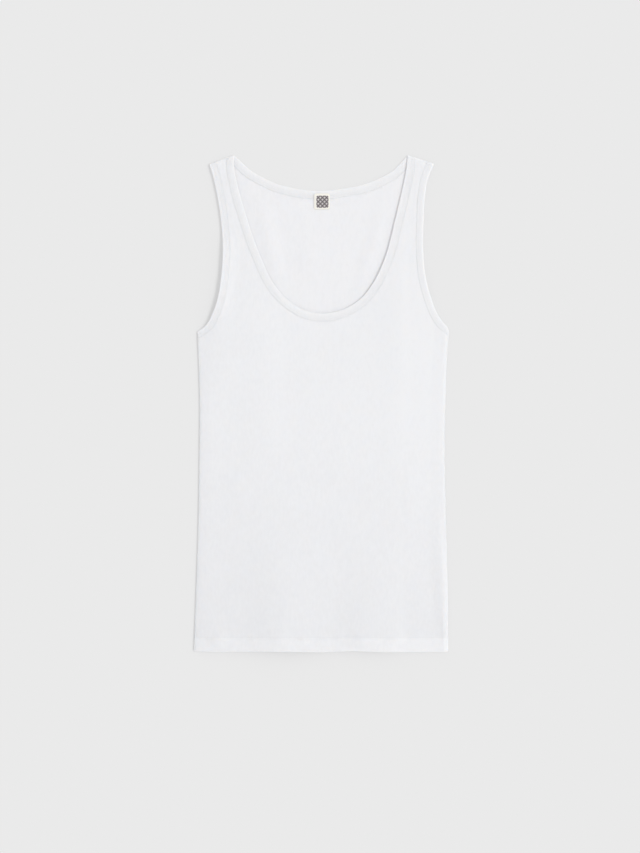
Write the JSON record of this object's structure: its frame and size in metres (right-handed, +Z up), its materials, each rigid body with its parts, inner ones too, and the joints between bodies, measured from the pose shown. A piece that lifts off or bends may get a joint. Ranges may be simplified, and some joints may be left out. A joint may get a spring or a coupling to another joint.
{
  "type": "tank top",
  "caption": "White fine-rib sleeveless tank top with a deep scoop neck, bound neck and armholes and a turned-up hem, laid flat on its back.",
  "frame": {"origin": "under the middle of the outline, on the surface that the garment lies on", "axes": "+Y from the hem to the shoulders, +X to the viewer's right as seen from above, +Z up out of the front of the laid-flat garment"},
  "size_m": [0.3344, 0.65, 0.0056],
  "materials": {
    "rib_knit": "matte white fine rib knit",
    "binding": "matte white folded binding",
    "label_satin": "cream woven satin"
  },
  "bodies": {
    "root": {"back_panel": "rib_knit", "front_panel": "rib_knit", "neck_binding": "binding", "left_armhole_binding": "binding", "right_armhole_binding": "binding", "neck_label": "label_satin"}
  },
  "joints": []
}
